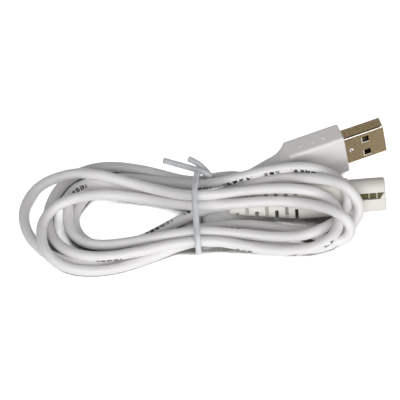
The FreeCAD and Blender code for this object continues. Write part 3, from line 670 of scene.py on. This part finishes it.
def plated_finish(plug):
    """Rolled steel sheet under a dull plating: brownish and grainy, with half sharp reflections."""
    finish, tree, shader = start_finish(
        "plated steel sheet", plug.shell, {"Roughness": 0.34, "Metallic": 1.0})
    place = add_node(tree, "ShaderNodeTexCoord")
    # Grains of the plating, drawn at 0.35 mm so that they show as speckle.
    speckle = add_node(tree, "ShaderNodeTexNoise", values={"Scale": 1 / (0.35 * MM), "Detail": 3},
                       links={"Vector": place.outputs["Object"]})
    shade = add_node(tree, "ShaderNodeMapRange",
                     values={**NOISE_SPAN, "To Min": 0.6, "To Max": 1.32},
                     links={"Value": speckle.outputs["Fac"]})
    colour = add_node(tree, "ShaderNodeMix", {"data_type": "RGBA", "blend_type": "MULTIPLY"},
                      {"Factor": 1.0, "A": (*plug.shell, 1)}, {"B": shade.outputs["Result"]})
    rough = add_node(tree, "ShaderNodeMapRange", values={"To Min": 0.26, "To Max": 0.44},
                     links={"Value": speckle.outputs["Fac"]})
    tree.links.new(colour.outputs["Result"], shader.inputs["Base Color"])
    tree.links.new(rough.outputs["Result"], shader.inputs["Roughness"])
    return finish


def contact_finish(name, colour, roughness):
    """Plated contact metal: bright where it is rubbed and duller between, in patches."""
    finish, tree, shader = start_finish(name, colour, {"Roughness": roughness, "Metallic": 1.0})
    place = add_node(tree, "ShaderNodeTexCoord")
    # Rubbed patches are about 0.8 mm across.
    patches = add_node(tree, "ShaderNodeTexNoise", values={"Scale": 1 / (0.8 * MM), "Detail": 3},
                       links={"Vector": place.outputs["Object"]})
    rough = add_node(tree, "ShaderNodeMapRange",
                     values={**NOISE_SPAN, "To Min": 0.75 * roughness,
                             "To Max": 1.25 * roughness},
                     links={"Value": patches.outputs["Fac"]})
    shade = add_node(tree, "ShaderNodeMapRange",
                     values={**NOISE_SPAN, "To Min": 0.88, "To Max": 1.0},
                     links={"Value": patches.outputs["Fac"]})
    metal = add_node(tree, "ShaderNodeMix", {"data_type": "RGBA", "blend_type": "MULTIPLY"},
                     {"Factor": 1.0, "A": (*colour, 1)}, {"B": shade.outputs["Result"]})
    tree.links.new(rough.outputs["Result"], shader.inputs["Roughness"])
    tree.links.new(metal.outputs["Result"], shader.inputs["Base Color"])
    return finish


class HANK_OT_lay_cable(bpy.types.Operator):
    """Lay the cable along its route, with the marks printed on its jacket"""

    bl_idname = "hank.lay_cable"
    bl_label = "Lay cable"

    def execute(self, context):
        cable = context.scene.hank_cable
        points = spline_points(ROUTE)
        mesh = bmesh.new()
        add_tube(mesh, points, cable.diameter / 2, cable.sides)
        jacket = finish_piece("cable_jacket", mesh, jacket_finish(cable), "jacket", "cable")
        return {"FINISHED"}


class HANK_OT_wrap_tie(bpy.types.Operator):
    """Wrap the twist tie round the hank"""

    bl_idname = "hank.wrap_tie"
    bl_label = "Wrap tie"

    def execute(self, context):
        tie = context.scene.hank_tie
        mesh = bmesh.new()
        for route, closed in ((TIE_RING, True), (TIE_LONG_END, False), (TIE_SHORT_END, False)):
            points = spline_points(route, closed, TIE_STEPS)
            add_tube(mesh, points, tie.diameter / 2, TIE_SIDES, closed)
        finish_piece("tie_coat", mesh, coat_finish(tie), "tie", "twist_tie")
        return {"FINISHED"}


class HANK_OT_dress_flat_plug(bpy.types.Operator):
    """Finish the flat plug: its cover, shell, tongue and contacts"""

    bl_idname = "hank.dress_flat_plug"
    bl_label = "Dress flat plug"

    def execute(self, context):
        plug = context.scene.hank_plugs
        dress(moulded_finish("white moulded PVC cover", plug.cover), "usb_overmould")
        dress(plated_finish(plug), "usb_shell")
        dress(moulded_finish("black moulded insulator", plug.tongue), "usb_tongue")
        gilt = contact_finish("gilt contact strip", plug.contact, roughness=0.28)
        dress(gilt, *["usb_contact_%d" % number for number in (1, 2, 3, 4)])
        return {"FINISHED"}


class HANK_OT_trim_flat_plug(bpy.types.Operator):
    """Add the flat plug's small forms: its rolled edge, window lips, crimp and grip marks"""

    bl_idname = "hank.trim_flat_plug"
    bl_label = "Trim flat plug"

    def execute(self, context):
        plug = context.scene.hank_plugs
        # The near-white metal of the small forms paints highlights on the shell's edges.
        bright = contact_finish("steel edge painted as a highlight", plug.bright, roughness=0.3)
        top = SHELL_HALF_THICKNESS

        # The sheet's rolled edge, along the corner beside the seam: a painted highlight on that
        # corner.
        bpy.ops.object.select_all(action="DESELECT")
        bpy.ops.mesh.primitive_cylinder_add(
            vertices=16, radius=ROLLED_EDGE_RADIUS, depth=SHELL_OUT - ROLLED_EDGE_INSET,
            rotation=(0, math.pi / 2, 0),
            location=(SHELL_OUT / 2, SHELL_HALF_WIDTH - ROLLED_EDGE_INSET,
                      top - ROLLED_EDGE_RADIUS))
        round_over(width=0.06 * MM)
        settle(context.object, "shell_rolled_edge", bright, FLAT_PLUG_REST)

        # A lip along two sides of each window: a painted highlight on the windows' rims.
        bpy.ops.object.select_all(action="DESELECT")
        bpy.ops.mesh.primitive_plane_add(
            size=1, location=(WINDOW_ALONG, WINDOW_ASIDE, top + LIP_LIFT))
        lip = context.object
        lip.scale = (*LIP_OUTLINE, 1)
        bpy.ops.object.transform_apply(location=True, rotation=True, scale=True)
        bpy.ops.object.mode_set(mode="EDIT")
        bpy.ops.mesh.inset(thickness=LIP_WIDTH)
        bpy.ops.object.mode_set(mode="OBJECT")
        # Of the rim, the sides towards the cover and away from the rolled edge stay, as the painted
        # highlight lies only on these.
        middle = Vector((WINDOW_ALONG, WINDOW_ASIDE, top))
        near = 0.5 * MM
        for face in lip.data.polygons:
            away = face.center - middle
            face.select = away.x > near or away.y > near or away.length < near
        bpy.ops.object.mode_set(mode="EDIT")
        bpy.ops.mesh.delete(type="FACE")
        bpy.ops.object.mode_set(mode="OBJECT")
        thicken(lip, depth=LIP_DEPTH, rounding=0.03 * MM)
        other_lip = copy_along(lip, (0, -2 * WINDOW_ASIDE, 0))
        settle(lip, "window_lip_1", bright, FLAT_PLUG_REST)
        settle(other_lip, "window_lip_2", bright, FLAT_PLUG_REST)

        # The crimp: a shallow dome pressed into the dimple, in near-white metal as a painted
        # highlight, and a nick in it, a dark block as painted shade.
        foot = top - CRIMP_SUNK
        bpy.ops.object.select_all(action="DESELECT")
        bpy.ops.mesh.primitive_uv_sphere_add(
            segments=32, ring_count=16, radius=CRIMP_RADIUS, location=(CRIMP_ALONG, 0, foot))
        bpy.ops.object.mode_set(mode="EDIT")
        bpy.ops.mesh.bisect(plane_co=(0, 0, foot), plane_no=(0, 0, 1), clear_inner=True,
                            use_fill=True)
        bpy.ops.mesh.select_all(action="SELECT")
        bpy.ops.transform.resize(value=(1, 1, CRIMP_RISE), center_override=(0, 0, foot))
        bpy.ops.object.mode_set(mode="OBJECT")
        settle(context.object, "crimp_dome", bright, FLAT_PLUG_REST)
        nick = block(NICK_SIZE, (NICK_ALONG, 0, top + NICK_LIFT))
        round_over(width=0.04 * MM)
        # Painted shade: the nick is a block in the dark insulator's colour.
        dark = moulded_finish("dark crimp nick", plug.tongue)
        settle(nick, "crimp_nick", dark, FLAT_PLUG_REST)

        # Three low raised marks on the narrow side of the cover.
        cover = moulded_finish("white moulded grip mark", plug.cover)
        bpy.ops.object.select_all(action="DESELECT")
        bpy.ops.mesh.primitive_circle_add(
            vertices=3, radius=GRIP_MARK_RADIUS, fill_type="NGON",
            rotation=(-math.pi / 2, 0, GRIP_MARK_TIP),
            location=(GRIP_MARK_PLACES[0], COVER_HALF_WIDTH + GRIP_MARK_LIFT, GRIP_MARK_ASIDE))
        bpy.ops.object.transform_apply(location=True, rotation=True, scale=True)
        thicken(context.object, depth=GRIP_MARK_DEPTH, rounding=0.05 * MM)
        marks = [context.object]
        for along in GRIP_MARK_PLACES[1:]:
            marks.append(copy_along(marks[0], (along - GRIP_MARK_PLACES[0], 0, 0)))
        for number, mark in enumerate(marks, 1):
            settle(mark, "grip_mark_%d" % number, cover, FLAT_PLUG_REST)
        return {"FINISHED"}


class HANK_OT_dress_charging_plug(bpy.types.Operator):
    """Finish the charging plug: its slotted grip, nose, leaf, sleeves, ribs and ramp"""

    bl_idname = "hank.dress_charging_plug"
    bl_label = "Dress charging plug"

    def execute(self, context):
        plug = context.scene.hank_plugs
        dress(slotted_finish(plug), "charge_grip")
        dress(moulded_finish("cream moulded nose", plug.grip), "charge_barrel")
        # The leaf and both contacts are darkened as painted shade inside the nose.
        tinned = contact_finish("tinned contact leaf in painted shade", plug.leaf, roughness=0.5)
        dress(tinned, "charge_leaf", "charge_contact_upper", "charge_contact_lower")

        # Two ribs across the groove, and a ramp that closes it at the mouth.
        # The ribs take a darker copy of the cream plastic: painted shade in the groove.
        moulded = moulded_finish("cream moulded rib in painted shade", plug.rib)
        for number, (along, width) in enumerate(RIBS, 1):
            rib = block((width, GROOVE_WIDTH, RIB_HEIGHT),
                        (along, 0, GROOVE_FLOOR + RIB_HEIGHT / 2))
            round_over(width=0.08 * MM)
            settle(rib, "groove_rib_%d" % number, moulded, CHARGING_PLUG_REST)
        half_way = GROOVE_FLOOR + RAMP_HEIGHT / 2
        ramp = block((RAMP_LENGTH, GROOVE_WIDTH, RAMP_HEIGHT), (RAMP_MIDDLE, 0, half_way))
        bpy.ops.object.mode_set(mode="EDIT")
        bpy.ops.mesh.select_all(action="SELECT")
        bpy.ops.mesh.bisect(plane_co=(SLOPE_MIDDLE, 0, half_way), plane_no=SLOPE_NORMAL,
                            clear_outer=True, use_fill=True)
        bpy.ops.object.mode_set(mode="OBJECT")
        round_over(width=0.05 * MM)
        cream = moulded_finish("cream moulded ramp", plug.grip)
        settle(ramp, "groove_ramp", cream, CHARGING_PLUG_REST)
        return {"FINISHED"}


def seen_rays(tree):
    """1 for what the camera sees, straight or by metal and glass, and 0 for what gives light."""
    path = add_node(tree, "ShaderNodeLightPath")
    mirrored = add_node(tree, "ShaderNodeMath", {"operation": "MAXIMUM"},
                        links={0: path.outputs["Is Glossy Ray"],
                               1: path.outputs["Is Transmission Ray"]})
    seen = add_node(tree, "ShaderNodeMath", {"operation": "MAXIMUM"},
                    links={0: path.outputs["Is Camera Ray"], 1: mirrored.outputs[0]})
    return seen.outputs[0]


def white_floor(stage):
    """White paper: lit by the lamps, painted with shade where the hank shelters it, and lifted to
    white elsewhere.
    """
    finish, tree, shader = start_finish(
        "white paper floor", stage.floor, {"Roughness": 0.9, "Emission Color": (1, 1, 1, 1)})
    shelter = add_node(tree, "ShaderNodeAmbientOcclusion", {"samples": SHELTER_SAMPLES},
                       {"Distance": SHELTER_REACH})
    openness = add_node(tree, "ShaderNodeMapRange", values=SHELTER_SPAN,
                        links={"Value": shelter.outputs["AO"]})
    # Painted shade: the paper turns to the shaded colour where the hank shelters it.
    paper = add_node(tree, "ShaderNodeMix", {"data_type": "RGBA"},
                     {"A": (*stage.painted_floor_shade, 1), "B": (*stage.floor, 1)},
                     {"Factor": openness.outputs["Result"]})
    white = add_node(tree, "ShaderNodeMath", {"operation": "MULTIPLY"}, {1: stage.floor_lift},
                     {0: openness.outputs["Result"]})
    lift = add_node(tree, "ShaderNodeMath", {"operation": "MULTIPLY"},
                    links={0: seen_rays(tree), 1: white.outputs[0]})
    tree.links.new(paper.outputs["Result"], shader.inputs["Base Color"])
    tree.links.new(lift.outputs[0], shader.inputs["Emission Strength"])
    return finish


class HANK_OT_set_stage(bpy.types.Operator):
    """Set the floor, the soft light and the camera"""

    bl_idname = "hank.set_stage"
    bl_label = "Set stage"

    def execute(self, context):
        scene = context.scene
        stage = scene.hank_stage
        bpy.ops.object.select_all(action="DESELECT")
        bpy.ops.mesh.primitive_plane_add(size=FLOOR_SIZE, location=(0, 0, 0))
        floor = context.object
        floor.name = "floor"
        floor.data.materials.append(white_floor(stage))

        world = bpy.data.worlds.new("soft white room")
        scene.world = world
        world.use_nodes = True
        tree = world.node_tree
        room = tree.nodes["Background"]
        room.inputs["Color"].default_value = (1, 1, 1, 1)
        level = add_node(tree, "ShaderNodeMapRange", values={"To Min": stage.sky, "To Max": 1.0},
                         links={"Value": seen_rays(tree)})
        tree.links.new(level.outputs["Result"], room.inputs["Strength"])

        for name, power, height, place in (
                ("front softbox", stage.key, SOFTBOX_HEIGHT, SOFTBOX_PLACE),
                ("low strip light", stage.fill, STRIP_HEIGHT, STRIP_PLACE)):
            lamp = bpy.data.lights.new(name, "AREA")
            lamp.shape = "RECTANGLE"
            lamp.size = LAMP_WIDTH
            lamp.size_y = height
            lamp.energy = power
            holder = bpy.data.objects.new(name, lamp)
            holder.location = LOOK_AT + place
            towards = LOOK_AT - holder.location
            holder.rotation_euler = towards.to_track_quat("-Z", "Y").to_euler()
            scene.collection.objects.link(holder)

        lens = bpy.data.cameras.new("camera")
        lens.sensor_width = SENSOR_WIDTH
        lens.lens = SENSOR_WIDTH * stage.distance / stage.view_width
        lens.clip_start = NEAREST_SEEN
        camera = bpy.data.objects.new("camera", lens)
        back = Vector((0, -math.cos(stage.elevation), math.sin(stage.elevation)))
        camera.location = LOOK_AT + stage.distance * back
        camera.rotation_euler = (math.pi / 2 - stage.elevation, 0, 0)
        scene.collection.objects.link(camera)
        scene.camera = camera
        scene.view_settings.view_transform = "Standard"
        return {"FINISHED"}


class HANK_PT_sidebar(bpy.types.Panel):
    """The cable's pieces and their settings"""

    bl_idname = "HANK_PT_sidebar"
    bl_label = "Charging cable"
    bl_space_type = "VIEW_3D"
    bl_region_type = "UI"
    bl_category = "Cable"

    def draw(self, context):
        for operator in OPERATORS:
            self.layout.operator(operator.bl_idname)
        for holder in SETTINGS:
            group = getattr(context.scene, holder)
            for field in group.__annotations__:
                self.layout.prop(group, field)


OPERATORS = (HANK_OT_set_stage, HANK_OT_lay_cable, HANK_OT_wrap_tie, HANK_OT_dress_flat_plug,
             HANK_OT_trim_flat_plug, HANK_OT_dress_charging_plug)
SETTINGS = {"hank_cable": CableSettings, "hank_tie": TieSettings, "hank_plugs": PlugSettings,
            "hank_stage": StageSettings}


def register():
    for group in (*SETTINGS.values(), *OPERATORS, HANK_PT_sidebar):
        bpy.utils.register_class(group)
    for holder, group in SETTINGS.items():
        setattr(bpy.types.Scene, holder, bpy.props.PointerProperty(type=group))


def unregister():
    for holder in SETTINGS:
        delattr(bpy.types.Scene, holder)
    for group in (HANK_PT_sidebar, *reversed(OPERATORS), *SETTINGS.values()):
        bpy.utils.unregister_class(group)


def main():
    register()
    bpy.ops.hank.set_stage()
    bpy.ops.hank.lay_cable()
    bpy.ops.hank.wrap_tie()
    bpy.ops.hank.dress_flat_plug()
    bpy.ops.hank.trim_flat_plug()
    bpy.ops.hank.dress_charging_plug()


if __name__ == "__main__":
    main()
